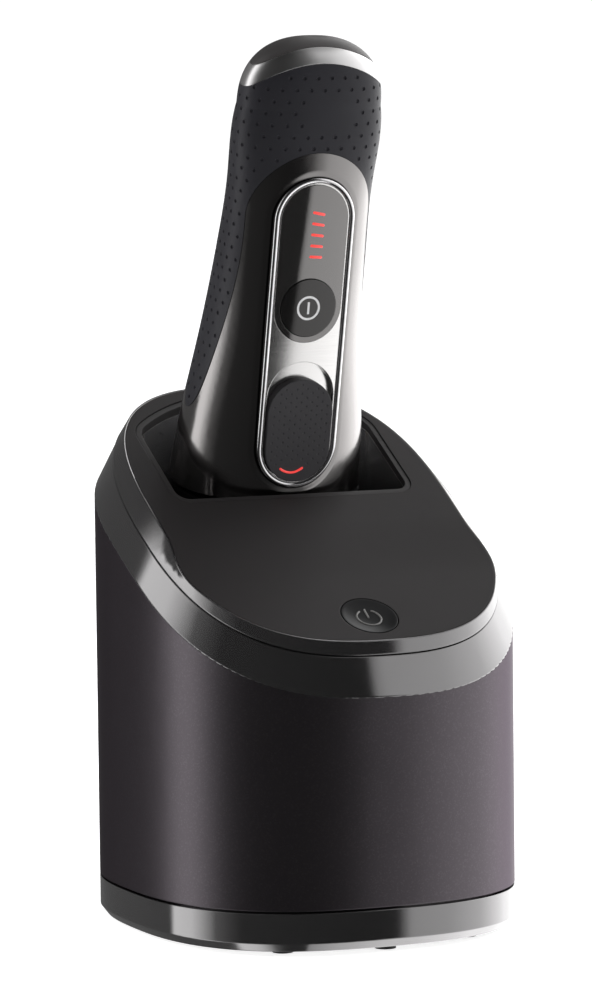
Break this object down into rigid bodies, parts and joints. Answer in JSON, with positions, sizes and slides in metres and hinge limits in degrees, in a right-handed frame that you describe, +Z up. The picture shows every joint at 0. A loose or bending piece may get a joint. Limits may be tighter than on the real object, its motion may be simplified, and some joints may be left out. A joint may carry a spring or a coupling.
{
  "type": "shaver cleaning station",
  "caption": "Countertop cleaning and charging station with a sloping deck and start button, holding a foil shaver head-down in its well above a pump and fluid cartridge.",
  "frame": {"origin": "centre of the bounding box's bottom face, on the surface that the feet stand on", "axes": "+Z up, -Y towards the user: the sloping deck and the shaver's face look that way; +X to the user's right"},
  "size_m": [0.118, 0.1318, 0.271],
  "materials": {
    "housing_satin": "satin metallic lacquer",
    "gloss_black": "high gloss",
    "deck_satin": "satin",
    "inner_plastic": "moulded",
    "rubber_black": "matt",
    "cartridge_plastic": "moulded",
    "filter_mesh": "felt",
    "spring_steel": "drawn wire",
    "screw_steel": "zinc plated",
    "hose_rubber": "silicone hose",
    "motor_steel": "drawn steel can",
    "board_green": "solder mask",
    "contact_metal": "gold flashed",
    "grip_rubber": "soft touch with small dimples",
    "dark_chrome": "dark polished",
    "bright_chrome": "polished",
    "cap_grey": "satin",
    "silver_plate": "brushed",
    "window_black": "smoked, high gloss",
    "light_red": "lit",
    "icon_white": "printed",
    "slider_rubber": "matt with a fine dot grid",
    "battery_wrap": "shrink sleeve",
    "foil_steel": "thin perforated foil"
  },
  "bodies": {
    "base": {"base_tray": "gloss_black", "rubber_feet": "rubber_black", "base_screws": "screw_steel", "guide_columns": "inner_plastic", "cartridge_tub": "cartridge_plastic", "cartridge_lid": "cartridge_plastic", "cartridge_filter": "filter_mesh", "lift_springs": "spring_steel"},
    "housing": {"housing_shell": "housing_satin", "chassis_screws": "screw_steel", "lower_trim_ring": "gloss_black", "upper_trim_ring": "gloss_black", "deck_panel": "deck_satin", "well_liner": "gloss_black", "cleaning_bowl": "inner_plastic", "bowl_gasket": "rubber_black", "drain_pipe": "inner_plastic", "chassis_plate": "inner_plastic", "pump_housing": "inner_plastic", "pump_cover": "inner_plastic", "inlet_pipe": "inner_plastic", "delivery_tube": "hose_rubber", "motor_can": "motor_steel", "control_board": "board_green", "start_switch": "board_green", "contact_carrier": "inner_plastic", "contact_pins": "contact_metal", "power_socket": "rubber_black", "socket_pins": "contact_metal", "latch_pin": "screw_steel", "latch_spring": "spring_steel"},
    "start_key": {"start_button": "gloss_black"},
    "lift_key": {"lift_button": "gloss_black"},
    "latch": {"latch_lever": "inner_plastic"},
    "pump_rotor": {"pump_shaft": "screw_steel", "impeller": "inner_plastic"},
    "shaver": {"handle_core": "inner_plastic", "grip_sleeve": "grip_rubber", "front_body": "dark_chrome", "end_band": "bright_chrome", "end_cap": "cap_grey", "front_frame": "bright_chrome", "front_plate": "silver_plate", "display_window": "window_black", "indicator_bars": "light_red", "battery": "battery_wrap", "drive_motor": "motor_steel", "shaver_board": "board_green", "charging_contacts": "contact_metal"},
    "power_key": {"shaver_power_button": "window_black", "power_icon": "icon_white"},
    "head_lock": {"head_lock_slider": "slider_rubber"},
    "shaver_head": {"head_frame": "gloss_black", "foil_cassette": "inner_plastic", "shaving_foils": "foil_steel", "foil_cutters": "screw_steel", "middle_trimmer": "foil_steel"}
  },
  "joints": [
    {"name": "housing_lift", "type": "slide", "parent": "base", "child": "housing", "axis": [0, 0, 1], "range_m": [0, 0.048], "deforming": ["lift_springs"]},
    {"name": "start_button_press", "type": "slide", "parent": "housing", "child": "start_key", "axis": [0, 0.4985, -0.8669], "range_m": [0, 0.0008], "stiffness_N_per_m": 1200, "springref_m": -0.0008},
    {"name": "lift_button_press", "type": "slide", "parent": "housing", "child": "lift_key", "axis": [0, -1, 0], "range_m": [0, 0.0025], "stiffness_N_per_m": 800, "springref_m": -0.0015},
    {"name": "latch_turn", "type": "hinge", "parent": "housing", "child": "latch", "pos_m": [0, 0.0585, 0.064], "axis": [1, 0, 0], "range_deg": [0, 2.66]},
    {"name": "pump_spin", "type": "hinge", "parent": "housing", "child": "pump_rotor", "pos_m": [0, -0.014, 0.06], "axis": [0, 0, 1], "continuous": true},
    {"name": "shaver_lift_out", "type": "slide", "parent": "housing", "child": "shaver", "axis": [0, -0.225, 0.9744], "range_m": [0, 0.13]},
    {"name": "power_button_press", "type": "slide", "parent": "shaver", "child": "power_key", "axis": [0, 0.9744, 0.225], "range_m": [0, 0.0008], "stiffness_N_per_m": 1000, "springref_m": -0.0008},
    {"name": "head_lock_slide", "type": "slide", "parent": "shaver", "child": "head_lock", "axis": [0, -0.225, 0.9744], "range_m": [0, 0.005]},
    {"name": "head_tilt", "type": "hinge", "parent": "shaver", "child": "shaver_head", "pos_m": [0, 0.02872, 0.13091], "axis": [1, 0, 0], "range_deg": [-5, 5], "stiffness_Nm_per_rad": 0.5}
  ],
  "couplings": [
    {"joint": "latch_turn", "follows": "lift_button_press", "rad_per_m": 18.52}
  ]
}
